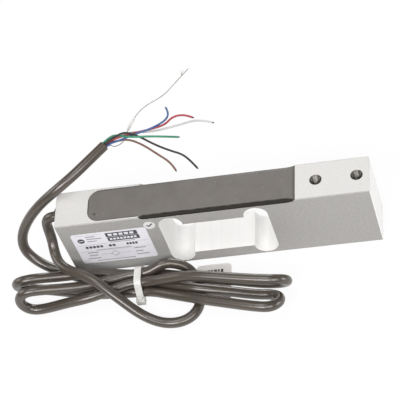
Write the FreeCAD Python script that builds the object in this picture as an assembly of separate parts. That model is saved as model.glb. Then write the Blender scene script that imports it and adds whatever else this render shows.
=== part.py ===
# Single point load cell: an aluminium beam with a thinned window, potted gauges and a tied cable
import FreeCAD
import Part
import math
import os
from FreeCAD import Vector

# All sizes are in millimetres. The origin is the middle of the beam's underside.
# X runs along the beam to its loaded end, Y runs to the back and Z is up.

# Beam
beam_length = 150.0
beam_width = 20.0
beam_height = 40.0
edge_break = 0.4

# Tapped mounting holes, two at each end
hole_end_gap = 6.0
hole_pitch = 19.0
hole_bore = 5.0
hole_depth = 18.0
hole_mouth_chamfer = 0.4
hole_tip_angle = 118.0

# Window through the beam: two tall round-ended slots joined by a lower middle
window_length = 52.0
slot_width = 11.4
bar_below = 7.4
bar_above = 9.0
flexure_below = 1.3
flexure_above = 0.9

# Gauge recess in the top face: between rims at the cable end, open at the sides past them
recess_fixed_gap = 16.0
recess_free_gap = 34.5
recess_depth = 1.8
recess_corner_radius = 6.0
recess_end_radius = 5.0
rim_width = 1.0
rim_length = 25.0
rim_end_radius = 3.0

# Wiring pocket under the cable end of the recess
pocket_gap = 1.0
pocket_length = 22.0
pocket_width = 14.0
pocket_depth = 7.6

# Potting compound that fills the recess and the pocket
potting_drop = 0.2
potting_set_in = 0.1
shoulder_width = 2.4
shoulder_height = 1.4
shoulder_most = 0.9

# Strain gauges on the two upper flexures
gauge_length = 8.0
gauge_width = 5.0
gauge_film = 0.12
gauge_side_gap = 3.0
gauge_tab = 1.4
gauge_tab_height = 0.1

# Terminal board and its two trimming resistors
board_length = 12.0
board_width = 12.0
board_thickness = 0.8
board_gap = 1.0
pad_diameter = 1.4
pad_height = 0.15
pad_count = 6
pad_pitch = 1.8
resistor_length = 3.2
resistor_width = 1.6
resistor_height = 0.6
resistor_spacing = 6.0

# Cable entry in the fixed end face
cable_diameter = 5.0
cable_drop = 4.6
bore_diameter = 7.0
cable_strip_back = 2.0
cable_bend_share = 0.45
seal_bead_length = 1.2
seal_bead_width = 0.5

# Rating label and inspection sticker on the front face
label_length = 37.0
label_height = 24.4
label_shift = 0.5
label_radius = 1.5
label_film = 0.12
sticker_diameter = 5.6
sticker_window_gap = 1.4
sticker_label_gap = 0.3

# Bundle where the tie holds five strands of the hank
tie_x = -41.5
tie_width = 3.4
tie_band = 1.1
bundle_y = -21.8
strand_pitch = 5.05
bundle_half_length = 3.0
lead_room = 0.5
tail_room = 0.3
tie_head_width = 4.4
tie_head_height = 3.6
tie_head_depth = 2.2
tie_head_gap = 0.3
tie_stub_width = 2.4
tie_stub_length = 1.0

# White film flag round one run of the lead
marker_film = 0.3
marker_run = 16
marker_wrap_length = 8.0
marker_slack = 0.5
marker_from_y = -36.0
marker_to_y = -13.4
marker_reach_x = 1.8
marker_back_x = -15.6

# Stripped end
core_diameter = 1.0
core_ring_radius = 1.35
core_lead_out = 2.5
drain_diameter = 0.4
sleeve_diameter = 1.2
sleeve_run = 2
sleeve_length = 5.6

# Lead from the bore mouth to the back upper strand of the bundle, chosen by hand
lead_points = [
    (-77.4, 0.0, 35.4), (-80.4, 0.1, 34.2), (-82.2, 0.0, 31.2), (-82.8, -0.4, 26.2),
    (-82.6, -2.6, 20.6), (-82.2, -7.4, 16.6), (-80.0, -13.2, 15.6), (-75.2, -18.0, 15.8),
    (-68.2, -21.4, 15.8), (-60.0, -26.4, 14.8), (-50.6, -33.4, 10.4), (-41.2, -39.8, 4.4),
    (-32.4, -44.2, 2.5), (-24.3, -45.9, 2.6), (-17.6, -44.2, 2.5), (-13.4, -40.2, 2.8),
    (-12.0, -34.4, 2.9), (-12.8, -28.0, 2.9), (-14.8, -21.4, 3.0), (-18.2, -17.2, 5.0),
    (-23.2, -16.0, 8.2), (-29.2, -16.6, 10.8),
]

# Tail from the side of the hank, up over the back corner of the beam to the jacket's cut end
tail_points = [
    (-77.0, -12.6, 2.5), (-83.6, -9.2, 2.5), (-90.6, -6.4, 4.4), (-96.6, -3.2, 8.0),
    (-99.8, -0.4, 13.2), (-98.6, 2.8, 20.0), (-93.0, 5.2, 28.2), (-84.2, 6.4, 37.4),
    (-74.4, 8.0, 44.4), (-65.0, 13.2, 47.6), (-57.4, 20.2, 48.7), (-50.0, 28.0, 49.0),
]

# Cores past the jacket's end, each with its place round the cable in degrees (none: the middle)
core_routes = {
    "green": (120.0, [(-44.6, 32.4, 51.0), (-37.4, 29.2, 51.4), (-25.6, 29.2, 50.0),
                      (-14.2, 29.2, 47.0)]),
    "white": (180.0, [(-44.5, 32.8, 48.0), (-38.8, 35.4, 47.6), (-27.5, 34.2, 47.1),
                      (-15.2, 37.2, 45.7), (-5.4, 40.6, 44.5), (1.4, 38.2, 43.4)]),
    "black": (60.0, [(-43.6, 30.0, 52.4), (-38.4, 30.6, 54.2), (-32.2, 27.8, 53.6),
                     (-24.0, 23.2, 50.6), (-13.4, 18.7, 47.0), (-5.1, 11.9, 44.0)]),
    "red": (None, [(-44.4, 31.0, 49.5), (-37.0, 32.2, 50.2), (-27.0, 33.9, 49.6),
                   (-18.6, 38.8, 48.7), (-12.2, 41.6, 47.6), (-7.6, 40.3, 46.5)]),
    "blue": (0.0, [(-43.4, 30.2, 48.5), (-35.4, 32.0, 48.8), (-26.0, 34.9, 48.5),
                   (-19.9, 39.6, 48.0), (-19.4, 44.4, 47.6), (-21.1, 47.9, 47.0)]),
    "brown": (240.0, [(-44.5, 31.6, 46.8), (-38.9, 32.2, 46.3), (-31.8, 28.2, 45.8),
                      (-24.9, 22.4, 45.0), (-18.0, 17.2, 43.4), (-16.1, 13.7, 41.8)]),
}
drain_place = 300.0
drain_route = [
    (-45.7, 28.4, 46.2), (-41.6, 31.6, 45.1), (-40.6, 38.0, 44.8), (-37.0, 46.8, 44.9),
    (-32.4, 52.6, 44.8), (-23.4, 57.8, 44.2), (-18.4, 65.4, 43.4), (-12.0, 74.4, 42.6),
]

# Outer shape of the hank: outlines from above and from the front, each side of the tie
left_plan_back = [(-66.0, -13.6), (-70.0, -13.0)]
left_plan_far = [(-84.0, -14.9), (-95.0, -15.8), (-104.5, -24.0), (-95.0, -32.7)]
left_plan_front = [(-68.0, -32.7), (-57.0, -28.8)]
left_top = [
    (-51.0, 9.6), (-57.0, 9.6), (-63.0, 11.0), (-77.0, 11.6), (-84.0, 13.0), (-92.0, 18.8),
    (-105.0, 18.8),
]
left_bottom = [(-105.0, 0.0), (-52.0, 0.0)]
right_plan_back = [(-25.0, -22.4), (-14.0, -22.9), (5.0, -24.8)]
right_plan_far = [(22.0, -26.8), (32.9, -36.0), (25.0, -48.6)]
right_plan_front = [(10.0, -47.2), (-14.0, -40.2)]
right_top = [(-22.0, 15.0), (-10.0, 17.2), (33.4, 17.8)]
right_bottom = [(33.4, 0.0), (12.0, 0.0), (-6.0, 6.4), (-20.0, 6.4), (-30.0, 1.6)]

# Places worked out from the sizes above
left_end = -beam_length / 2
right_end = beam_length / 2
front_face = -beam_width / 2
recess_floor = beam_height - recess_depth
recess_left = left_end + recess_fixed_gap
recess_right = right_end - recess_free_gap
rim_end = recess_left + rim_length
slot_centre = window_length / 2 - slot_width / 2
gauge_offset = beam_width / 2 - gauge_side_gap - gauge_width / 2
label_right = (left_end - window_length / 2 + label_length) / 2 - label_shift
label_top = (beam_height + label_height) / 2
pocket_left = recess_left + pocket_gap
pocket_floor = beam_height - pocket_depth
cable_z = beam_height - cable_drop
cable_radius = cable_diameter / 2
strand_low_z = tie_band + cable_radius
strand_high_z = strand_low_z + strand_pitch * math.sin(math.radians(60))
cut_past = 1.0


def block(x0, x1, y0, y1, z0, z1):
    return Part.makeBox(x1 - x0, y1 - y0, z1 - z0, Vector(x0, y0, z0))


def polygon_face(points):
    return Part.Face(Part.makePolygon(points + points[:1]))


def rounded_plate(x0, x1, y0, y1, z0, z1, radius):
    plate = block(x0, x1, y0, y1, z0, z1)
    uprights = [e for e in plate.Edges if abs(e.Vertexes[0].Z - e.Vertexes[1].Z) > (z1 - z0) / 2]
    return plate.makeFillet(radius, uprights)


def on_front_face(shape):
    # Stands a flat plate up, so that its height above the plan becomes its reach to the front
    turned = shape.copy()
    turned.rotate(Vector(0, 0, 0), Vector(1, 0, 0), 90)
    return turned


def slot_prism(x):
    # Upright round-ended slot through the beam
    radius = slot_width / 2
    low = flexure_below + radius
    high = recess_floor - flexure_above - radius
    y = front_face - cut_past
    corners = [Vector(x - radius, y, low), Vector(x - radius, y, high)]
    corners += [Vector(x + radius, y, high), Vector(x + radius, y, low)]
    edges = [
        Part.LineSegment(corners[0], corners[1]).toShape(),
        Part.Arc(corners[1], Vector(x, y, high + radius), corners[2]).toShape(),
        Part.LineSegment(corners[2], corners[3]).toShape(),
        Part.Arc(corners[3], Vector(x, y, low - radius), corners[0]).toShape(),
    ]
    return Part.Face(Part.Wire(edges)).extrude(Vector(0, beam_width + 2 * cut_past, 0))


def window_tool():
    reach = beam_width / 2 + cut_past
    roof = beam_height - bar_above
    middle = block(-slot_centre, slot_centre, -reach, reach, bar_below, roof)
    return middle.fuse([slot_prism(-slot_centre), slot_prism(slot_centre)])


def tapped_hole_tool(x, mouth_z, direction):
    # Drilled and chamfered hole, pointing into the beam along the given direction of Z
    radius = hole_bore / 2
    tip = radius / math.tan(math.radians(hole_tip_angle / 2))
    steps = [
        (0, -cut_past),
        (radius + hole_mouth_chamfer, -cut_past),
        (radius + hole_mouth_chamfer, 0),
        (radius, hole_mouth_chamfer),
        (radius, hole_depth),
        (0, hole_depth + tip),
    ]
    outline = polygon_face([Vector(x + r, 0, mouth_z + direction * depth) for r, depth in steps])
    return outline.revolve(Vector(x, 0, 0), Vector(0, 0, 1), 360)


def climb(x, radius, way):
    # Arc from the recess floor up to the top face, which it meets at x
    rise = min(radius, recess_depth)
    run = math.sqrt(radius ** 2 - (radius - rise) ** 2)
    start = Vector(x - way * run, 0, recess_floor)
    half = math.atan2(rise, run)
    halfway = start + Vector(way * math.sin(half), 0, 1 - math.cos(half)) * radius
    return [start, halfway, Vector(x, 0, recess_floor + rise)]


def open_recess_tool():
    # The stretch past the rims, with a rounded step up at each end
    top = beam_height + cut_past
    far = climb(recess_right, recess_end_radius, 1)
    near = climb(rim_end, rim_end_radius, -1)
    corners = [far[2], Vector(recess_right, 0, top), Vector(rim_end, 0, top), near[2]]
    edges = [Part.LineSegment(a, b).toShape() for a, b in zip(corners, corners[1:])]
    edges += [Part.Arc(*near[::-1]).toShape(), Part.LineSegment(near[0], far[0]).toShape()]
    edges.append(Part.Arc(*far).toShape())
    profile = Part.Face(Part.Wire(edges))
    profile.translate(Vector(0, front_face - cut_past, 0))
    return profile.extrude(Vector(0, beam_width + 2 * cut_past, 0))


def closed_recess_tool():
    # The stretch between the rims, round at the cable end and running on past the rims' ends
    side = beam_width / 2 - rim_width
    top = beam_height + cut_past
    end = rim_end + rim_end_radius
    past = end + 2 * recess_corner_radius
    plate = rounded_plate(recess_left, past, -side, side, recess_floor, top, recess_corner_radius)
    return plate.common(block(recess_left, end, -side, side, recess_floor, top))


def pocket_block(top):
    side = pocket_width / 2
    return block(pocket_left, pocket_left + pocket_length, -side, side, pocket_floor, top)


def cable_bore_tool():
    base = Vector(left_end - cut_past, 0, cable_z)
    reach = pocket_left + cut_past - base.x
    return Part.makeCylinder(bore_diameter / 2, reach, base, Vector(1, 0, 0))


def hole_places():
    # Loaded end from above, fixed end from below
    for step in (0, hole_pitch):
        yield right_end - hole_end_gap - step, beam_height, -1
        yield left_end + hole_end_gap + step, 0, 1


def load_beam():
    side = beam_width / 2
    bar = block(left_end, right_end, -side, side, 0, beam_height)
    bar = bar.makeChamfer(edge_break, bar.Edges)
    tools = [window_tool(), open_recess_tool(), closed_recess_tool()]
    tools += [pocket_block(recess_floor + cut_past), cable_bore_tool()]
    tools += [tapped_hole_tool(x, mouth, way) for x, mouth, way in hole_places()]
    return bar.cut(tools)


def strain_gauges():
    # One pair over each slot: a film with two solder tabs
    plates = {}
    for end, x in (("fixed", -slot_centre), ("free", slot_centre)):
        for side, y in (("front", -gauge_offset), ("back", gauge_offset)):
            top = recess_floor + gauge_film
            half_x, half_y = gauge_length / 2, gauge_width / 2
            film = block(x - half_x, x + half_x, y - half_y, y + half_y, recess_floor, top)
            tabs = []
            for tab_y in (y - half_y, y + half_y - gauge_tab):
                tab_x = x - half_x
                tabs.append(block(tab_x, tab_x + gauge_tab, tab_y, tab_y + gauge_tab,
                                  recess_floor, top + gauge_tab_height))
            plates["gauge_%s_%s" % (end, side)] = film.fuse(tabs).removeSplitter()
    return plates


def board_right():
    return pocket_left + pocket_length - board_gap


def terminal_board():
    right = board_right()
    side = board_width / 2
    top = pocket_floor + board_thickness
    board = block(right - board_length, right, -side, side, pocket_floor, top)
    first = -pad_pitch * (pad_count - 1) / 2
    pads = []
    for i in range(pad_count):
        base = Vector(right - board_length + pad_diameter, first + i * pad_pitch, pocket_floor)
        pads.append(Part.makeCylinder(pad_diameter / 2, board_thickness + pad_height, base))
    return board.fuse(pads).removeSplitter()


def chip_resistor(y):
    x = board_right() - board_gap - resistor_length
    floor = pocket_floor + board_thickness
    side = resistor_width / 2
    return block(x, x + resistor_length, y - side, y + side, floor, floor + resistor_height)


def shouldered_bar():
    # Rounded shoulders where the recess is open at the sides, no taller than the compound is deep
    top = beam_height - potting_drop
    side = beam_width / 2 - potting_set_in
    height = min(shoulder_height, shoulder_width, shoulder_most * (top - recess_floor))
    half = math.atan2(height, shoulder_width)
    radius = shoulder_width / math.sin(2 * half)
    inner = shoulder_width - side
    left = [Vector(rim_end, -side, recess_floor), Vector(rim_end, -side, top - height)]
    left.append(Vector(rim_end, inner - radius * math.sin(half), top - radius * (1 - math.cos(half))))
    left.append(Vector(rim_end, inner, top))
    right = [Vector(p.x, -p.y, p.z) for p in left]
    edges = [
        Part.LineSegment(right[0], left[0]).toShape(),
        Part.LineSegment(left[0], left[1]).toShape(),
        Part.Arc(*left[1:]).toShape(),
        Part.LineSegment(left[3], right[3]).toShape(),
        Part.Arc(*right[:0:-1]).toShape(),
        Part.LineSegment(right[1], right[0]).toShape(),
    ]
    return Part.Face(Part.Wire(edges)).extrude(Vector(recess_right - rim_end, 0, 0))


def gauge_potting(inner_pieces):
    side = beam_width / 2
    rimmed = block(recess_left, rim_end, -side, side, recess_floor, beam_height - potting_drop)
    cavity = open_recess_tool().fuse(closed_recess_tool())
    fill = shouldered_bar().fuse(rimmed).common(cavity).fuse(pocket_block(recess_floor))
    base = Vector(pocket_left, 0, cable_z)
    stub = Part.makeCylinder(cable_radius, cable_strip_back, base, Vector(1, 0, 0))
    return fill.cut(inner_pieces + [stub]).removeSplitter()


def cable_entry_seal():
    # Bush in the bore with a bead of sealant round the cable outside
    bore = bore_diameter / 2
    tip = left_end - seal_bead_length
    steps = [
        (pocket_left, cable_radius),
        (pocket_left, bore),
        (left_end, bore),
        (left_end, bore + seal_bead_width),
        (tip, cable_radius + seal_bead_width),
        (tip, cable_radius),
    ]
    outline = polygon_face([Vector(x, 0, cable_z + r) for x, r in steps])
    return outline.revolve(Vector(0, 0, cable_z), Vector(1, 0, 0), 360)


def rating_label():
    # Halfway up the front face, about halfway between the fixed end and the window
    outer = -front_face + label_film
    plate = rounded_plate(label_right - label_length, label_right, label_top - label_height, label_top,
                          -front_face, outer, label_radius)
    return on_front_face(plate)


def inspection_sticker():
    # Beside the window, set against the label's upper corner
    radius = sticker_diameter / 2
    x = -window_length / 2 - sticker_window_gap - radius
    apart = label_radius + sticker_label_gap + radius
    beside = min(max(x - label_right + label_radius, 0), apart)
    z = label_top - label_radius + math.sqrt(apart ** 2 - beside ** 2)
    return on_front_face(Part.makeCylinder(radius, label_film, Vector(x, z, -front_face)))


def rounded_route(points):
    # Straight runs joined by tangent arcs as large as the runs allow
    edges, radii = [], []
    start = points[0]
    for before, corner, after in zip(points, points[1:], points[2:]):
        back, ahead = before - corner, after - corner
        reach = cable_bend_share * min(back.Length, ahead.Length)
        half_turn = (math.pi - back.getAngle(ahead)) / 2
        radius = reach / math.tan(half_turn)
        back.normalize()
        ahead.normalize()
        inward = back + ahead
        inward.normalize()
        leave, arrive = corner + back * reach, corner + ahead * reach
        middle = corner + inward * (radius / math.cos(half_turn) - radius)
        edges.append(Part.LineSegment(start, leave).toShape())
        edges.append(Part.Arc(leave, middle, arrive).toShape())
        radii.append(radius)
        start = arrive
    edges.append(Part.LineSegment(start, points[-1]).toShape())
    return Part.Wire(edges), radii


def tube(name, points, diameter):
    path, radii = rounded_route(points)
    circle = Part.Circle(points[0], points[1] - points[0], diameter / 2)
    shape = path.makePipeShell([Part.Wire(circle.toShape())], True, False)
    expected = math.pi * diameter ** 2 / 4 * path.Length
    sizes = " ".join("%.1f" % r for r in radii)
    share = shape.Volume / expected
    print("%s: length %.1f, volume share %.4f, radii %s" % (name, path.Length, share, sizes))
    return shape


def strand_centres():
    # Three strands on the tie's floor and two in the hollows above them, outline order
    half = strand_pitch / 2
    low = [(bundle_y - strand_pitch, strand_low_z), (bundle_y + strand_pitch, strand_low_z)]
    return low + [(bundle_y + half, strand_high_z), (bundle_y - half, strand_high_z)]


def bundle_face(margin):
    # The five strands' outer shape at the tie, grown by a margin
    corners = [Vector(tie_x, y, z) for y, z in strand_centres()]
    wire = Part.makePolygon(corners + corners[:1])
    return Part.Face(wire.makeOffset2D(cable_radius + margin))


def extruded_x(face, half_length):
    shifted = face.copy()
    shifted.translate(Vector(-half_length, 0, 0))
    return shifted.extrude(Vector(2 * half_length, 0, 0))


def lead_start():
    return Vector(pocket_left + cable_strip_back, 0, cable_z)


def lead_route():
    y, z = strand_centres()[2]
    end = Vector(tie_x + bundle_half_length, y, z)
    before = end + Vector(strand_pitch, 0, 0)
    return [lead_start()] + [Vector(*p) for p in lead_points] + [before, end]


def tail_route():
    return [Vector(*p) for p in tail_points]


def paddle(plan_edges, side_points):
    # Common part of an outline seen from above and one seen from the front
    plan = Part.Face(Part.Wire(plan_edges))
    low, high = min(p[1] for p in side_points), max(p[1] for p in side_points)
    plan.translate(Vector(0, 0, low))
    box = plan.BoundBox
    corners = [Vector(x, box.YMin - cut_past, z) for x, z in side_points]
    side = polygon_face(corners).extrude(Vector(0, box.YLength + 2 * cut_past, 0))
    return plan.extrude(Vector(0, 0, high - low)).common(side)


def plan_outline(before, arc, after):
    # Straight edges with one arc between them; each item is a place seen from above
    start = [Vector(x, y, 0) for x, y in before + arc[:1]]
    end = [Vector(x, y, 0) for x, y in arc[-1:] + after + before[:1]]
    edges = [Part.LineSegment(a, b).toShape() for a, b in zip(start, start[1:])]
    edges.append(Part.Arc(*[Vector(x, y, 0) for x, y in arc]).toShape())
    edges += [Part.LineSegment(a, b).toShape() for a, b in zip(end, end[1:])]
    return edges


def tail_facet():
    # Flat place on the hank's side, square to the tail where it leaves
    start, ahead = tail_route()[:2]
    run = ahead - start
    across = Vector(run.y, -run.x, 0)
    across.normalize()
    ends = [start + across * k * (cable_radius + tail_room) for k in (1, -1)]
    return [(p.x, p.y) for p in ends]


def cable_hank():
    left, right = tie_x - bundle_half_length, tie_x + bundle_half_length
    back = bundle_y + strand_pitch + cable_radius
    front = bundle_y - strand_pitch - cable_radius
    top = strand_high_z + cable_radius
    plan = plan_outline([(left, back)] + left_plan_back + tail_facet() + left_plan_far[:1],
                        left_plan_far[1:], left_plan_front + [(left, front)])
    left_loops = paddle(plan, [(left, top)] + left_top + left_bottom + [(left, tie_band)])
    plan = plan_outline([(right, bundle_y - lead_room)] + right_plan_back, right_plan_far,
                        right_plan_front + [(right, front)])
    right_loops = paddle(plan, [(right, top)] + right_top + right_bottom + [(right, tie_band)])
    waist = extruded_x(bundle_face(0), bundle_half_length)
    return waist.fuse([left_loops, right_loops]).removeSplitter()


def cable_tie():
    ring = bundle_face(tie_band).cut(bundle_face(0))
    band = extruded_x(ring, tie_width / 2)
    # The head stands at the front, just above the floor, with the cut strap's stub above it
    inner = extruded_x(bundle_face(0), tie_head_width)
    front = bundle_y - strand_pitch - cable_radius
    half = tie_head_width / 2
    high = tie_head_gap + tie_head_height
    outer = front - tie_band - tie_head_depth
    head = block(tie_x - half, tie_x + half, outer, front + cable_radius, tie_head_gap, high).cut(inner)
    half = tie_stub_width / 2
    inside = outer + tie_band
    stub = block(tie_x - half, tie_x + half, inside, inside + tie_band, high, high + tie_stub_length)
    return band.fuse([head, stub]).removeSplitter()


def cable_marker():
    # Film wrapped over the lead, with a flag that lies flat under the strands
    start, end = [Vector(*p) for p in lead_points[marker_run:marker_run + 2]]
    run = end - start
    base = (start + end) * 0.5 - run * (marker_wrap_length / run.Length / 2)
    inner = cable_radius + marker_slack
    wrap = Part.makeCylinder(inner + marker_film, marker_wrap_length, base, run)
    hollow = Part.makeCylinder(inner, marker_wrap_length, base, run)
    left = marker_back_x - cable_diameter
    above = block(left, marker_reach_x, marker_from_y, marker_to_y, 0, 2 * cable_diameter)
    flag = block(marker_back_x, marker_reach_x, marker_from_y, marker_to_y, 0, marker_film)
    return wrap.cut(hollow).common(above).fuse(flag).removeSplitter()


def stripped_start(place):
    # Where a core leaves the jacket's end face, and the way the jacket points there
    last, end = tail_route()[-2:]
    ahead = end - last
    ahead.normalize()
    across = ahead.cross(Vector(0, 0, 1))
    across.normalize()
    up = across.cross(ahead)
    if place is None:
        return end, ahead
    turn = math.radians(place)
    return end + (across * math.cos(turn) + up * math.sin(turn)) * core_ring_radius, ahead


def stripped_route(place, points):
    start, ahead = stripped_start(place)
    return [start, start + ahead * core_lead_out] + [Vector(*p) for p in points]


def drain_sleeve(drain):
    # Short heat-shrink sleeve on one run of the drain wire
    start, end = [Vector(*p) for p in drain_route[sleeve_run:sleeve_run + 2]]
    run = end - start
    base = (start + end) * 0.5 - run * (sleeve_length / run.Length / 2)
    return Part.makeCylinder(sleeve_diameter / 2, sleeve_length, base, run).cut(drain)


def build():
    pieces = strain_gauges()
    pieces["terminal_board"] = terminal_board()
    pieces["span_resistor"] = chip_resistor(resistor_spacing / 2)
    pieces["zero_resistor"] = chip_resistor(-resistor_spacing / 2)
    pieces["cable_entry_seal"] = cable_entry_seal()
    pieces["gauge_potting"] = gauge_potting(list(pieces.values()))
    pieces["load_beam"] = load_beam()
    pieces["rating_label"] = rating_label()
    pieces["inspection_sticker"] = inspection_sticker()
    pieces["cable_lead"] = tube("cable_lead", lead_route(), cable_diameter)
    pieces["cable_tail"] = tube("cable_tail", tail_route(), cable_diameter)
    pieces["cable_hank"] = cable_hank()
    pieces["cable_tie"] = cable_tie()
    pieces["cable_marker"] = cable_marker()
    for colour, (place, points) in core_routes.items():
        name = "core_" + colour
        pieces[name] = tube(name, stripped_route(place, points), core_diameter)
    drain = tube("drain_wire", stripped_route(drain_place, drain_route), drain_diameter)
    pieces["drain_wire"] = drain
    pieces["drain_sleeve"] = drain_sleeve(drain)
    return pieces


os.makedirs("parts", exist_ok=True)
for node, shape in build().items():
    shape.exportStep(os.path.join("parts", node + ".step"))
    print("%s: %d solid, valid %s, volume %.2f" % (node, len(shape.Solids), shape.isValid(), shape.Volume))
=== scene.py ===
import bpy
import bmesh
import math
from mathutils import Matrix, Vector, noise


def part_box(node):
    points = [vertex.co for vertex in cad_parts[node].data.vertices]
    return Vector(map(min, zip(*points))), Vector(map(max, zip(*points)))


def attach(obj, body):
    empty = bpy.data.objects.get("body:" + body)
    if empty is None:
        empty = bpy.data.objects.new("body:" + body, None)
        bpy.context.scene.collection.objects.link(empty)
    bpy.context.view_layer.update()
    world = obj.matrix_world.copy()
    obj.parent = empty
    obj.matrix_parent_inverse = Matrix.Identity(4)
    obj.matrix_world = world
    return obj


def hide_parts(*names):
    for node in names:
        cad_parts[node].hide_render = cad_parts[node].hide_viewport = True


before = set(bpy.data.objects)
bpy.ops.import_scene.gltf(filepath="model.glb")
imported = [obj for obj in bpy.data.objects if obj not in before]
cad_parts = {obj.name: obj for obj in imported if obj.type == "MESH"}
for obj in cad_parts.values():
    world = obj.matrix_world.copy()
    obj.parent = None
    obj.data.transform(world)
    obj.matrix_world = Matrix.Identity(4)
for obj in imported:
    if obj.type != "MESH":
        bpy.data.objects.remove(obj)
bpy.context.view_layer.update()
milli = 0.001  # lengths below are in millimetres unless a note says metres
sceneRoot = bpy.context.scene.collection
print("frame:", len(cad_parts), "nodes")

photoView = {
    "place": (164.88, -464.14, 665.56),
    "right": (0.9704, 0.0311, -0.2395),
    "forward": (-0.2128, 0.5791, -0.787),
    "lens": 154.53,
    "sensor": 36.0,
    "clip": (0.01, 20.0),  # in metres
}


def makeCamera(view):
    data = bpy.data.cameras.new("photoCamera")
    data.lens, data.sensor_width = view["lens"], view["sensor"]
    data.clip_start, data.clip_end = view["clip"]
    camera = bpy.data.objects.new("photoCamera", data)
    sceneRoot.objects.link(camera)
    ahead = Vector(view["forward"]).normalized()
    up = Vector(view["right"]).cross(ahead).normalized()
    right = ahead.cross(up)
    turn = Matrix((right, up, -ahead)).transposed()
    camera.matrix_world = Matrix.Translation(Vector(view["place"]) * milli) @ turn.to_4x4()
    bpy.context.scene.camera = camera


makeCamera(photoView)
print("camera set")


def newMaterial(name):
    material = bpy.data.materials.new(name)
    material.use_nodes = True
    tree = material.node_tree
    return material, tree.nodes, tree.links, tree.nodes["Principled BSDF"]


def addNoise(nodes, links, vector, scale, detail):
    cloud = nodes.new("ShaderNodeTexNoise")
    cloud.inputs["Scale"].default_value = scale
    cloud.inputs["Detail"].default_value = detail
    links.new(vector, cloud.inputs["Vector"])
    return cloud.outputs["Fac"]


noiseStyle = {"slowDetail": 5, "fineDetail": 4, "toneFrom": 0.3, "toneTo": 0.7}


def toneRamp(nodes, links, factor, look):
    ramp = nodes.new("ShaderNodeValToRGB")
    first, last = ramp.color_ramp.elements
    first.position, last.position = noiseStyle["toneFrom"], noiseStyle["toneTo"]
    first.color, last.color = (*look["dark"], 1), (*look["light"], 1)
    links.new(factor, ramp.inputs["Fac"])
    return ramp.outputs["Color"]


def grainFinish(look):
    material, nodes, links, shader = newMaterial(look["name"])
    for socket, value in look["sockets"].items():
        shader.inputs[socket].default_value = value
    place = nodes.new("ShaderNodeTexCoord")
    stretch = nodes.new("ShaderNodeMapping")
    stretch.inputs["Scale"].default_value = look.get("stretch", (1, 1, 1))
    links.new(place.outputs["Object"], stretch.inputs["Vector"])
    slow = addNoise(nodes, links, stretch.outputs["Vector"], look["cloud"], noiseStyle["slowDetail"])
    fine = addNoise(nodes, links, stretch.outputs["Vector"], look["grain"], noiseStyle["fineDetail"])
    links.new(toneRamp(nodes, links, slow, look), shader.inputs["Base Color"])
    polish = nodes.new("ShaderNodeMapRange")
    polish.inputs["To Min"].default_value, polish.inputs["To Max"].default_value = look["roughness"]
    links.new(fine, polish.inputs["Value"])
    links.new(polish.outputs["Result"], shader.inputs["Roughness"])
    relief = nodes.new("ShaderNodeBump")
    relief.inputs["Strength"].default_value = look["relief"]
    relief.inputs["Distance"].default_value = look["reliefDepth"] * milli
    links.new(fine, relief.inputs["Height"])
    links.new(relief.outputs["Normal"], shader.inputs["Normal"])
    return material


def addPiece(name, data, material, replaced=()):
    piece = bpy.data.objects.new(name, data)
    sceneRoot.objects.link(piece)
    data.materials.append(material)
    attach(piece, "root")
    if replaced:
        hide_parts(*replaced)
    return piece


def meshFrom(name, shape, sharpAngle=35):
    bmesh.ops.recalc_face_normals(shape, faces=shape.faces)
    mesh = bpy.data.meshes.new(name)
    shape.to_mesh(mesh)
    shape.free()
    mesh.shade_smooth()
    mesh.set_sharp_from_angle(angle=math.radians(sharpAngle))
    return mesh


def joinRings(shape, rings, closedRing, closedRow=False):
    rows = [[shape.verts.new(Vector(p) * milli) for p in ring] for ring in rings]
    pairs = list(zip(rows, rows[1:])) + ([(rows[-1], rows[0])] if closedRow else [])
    for a, b in pairs:
        count = len(a) if closedRing else len(a) - 1
        for i in range(count):
            j = (i + 1) % len(a)
            shape.faces.new((a[i], a[j], b[j], b[i]))
    return rows


def tubeRings(line, radii, sides):
    rings = []
    side = (line[1] - line[0]).orthogonal().normalized()
    for i, (centre, radius) in enumerate(zip(line, radii)):
        ahead = (line[min(i + 1, len(line) - 1)] - line[max(i - 1, 0)]).normalized()
        side = (side - ahead * side.dot(ahead)).normalized()
        up = ahead.cross(side)
        turn = [2 * math.pi * k / sides for k in range(sides)]
        rings.append([centre + (side * math.cos(t) + up * math.sin(t)) * radius for t in turn])
    return rings


def tubeMesh(name, line, radii, sides):
    shape = bmesh.new()
    rows = joinRings(shape, tubeRings(line, radii, sides), True)
    shape.faces.new(rows[0])
    shape.faces.new(rows[-1])
    return meshFrom(name, shape)


cordStyle = {"order": 3, "steps": 10}  # how smooth each cord's spline is


def cordCurve(name, points):
    curve = bpy.data.curves.new(name, "CURVE")
    curve.dimensions = "3D"
    spline = curve.splines.new("NURBS")
    spline.points.add(len(points) - 1)
    for point, place in zip(spline.points, points):
        point.co = (*(Vector(place) * milli), 1)
    spline.order_u = cordStyle["order"]
    spline.use_endpoint_u = True
    spline.resolution_u = cordStyle["steps"]
    return curve


def thicken(curve, diameter, roundSteps):
    for point in curve.splines[0].points:
        point.radius = diameter * milli / 2  # the curve's box takes in this radius
    curve.bevel_depth = 1.0
    curve.bevel_resolution = roundSteps
    curve.use_fill_caps = True


def centreLine(piece):
    copy = bpy.data.meshes.new_from_object(piece)  # read before the curve gets its thickness
    points = [v.co / milli for v in copy.vertices]
    bpy.data.meshes.remove(copy)
    return points


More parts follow.
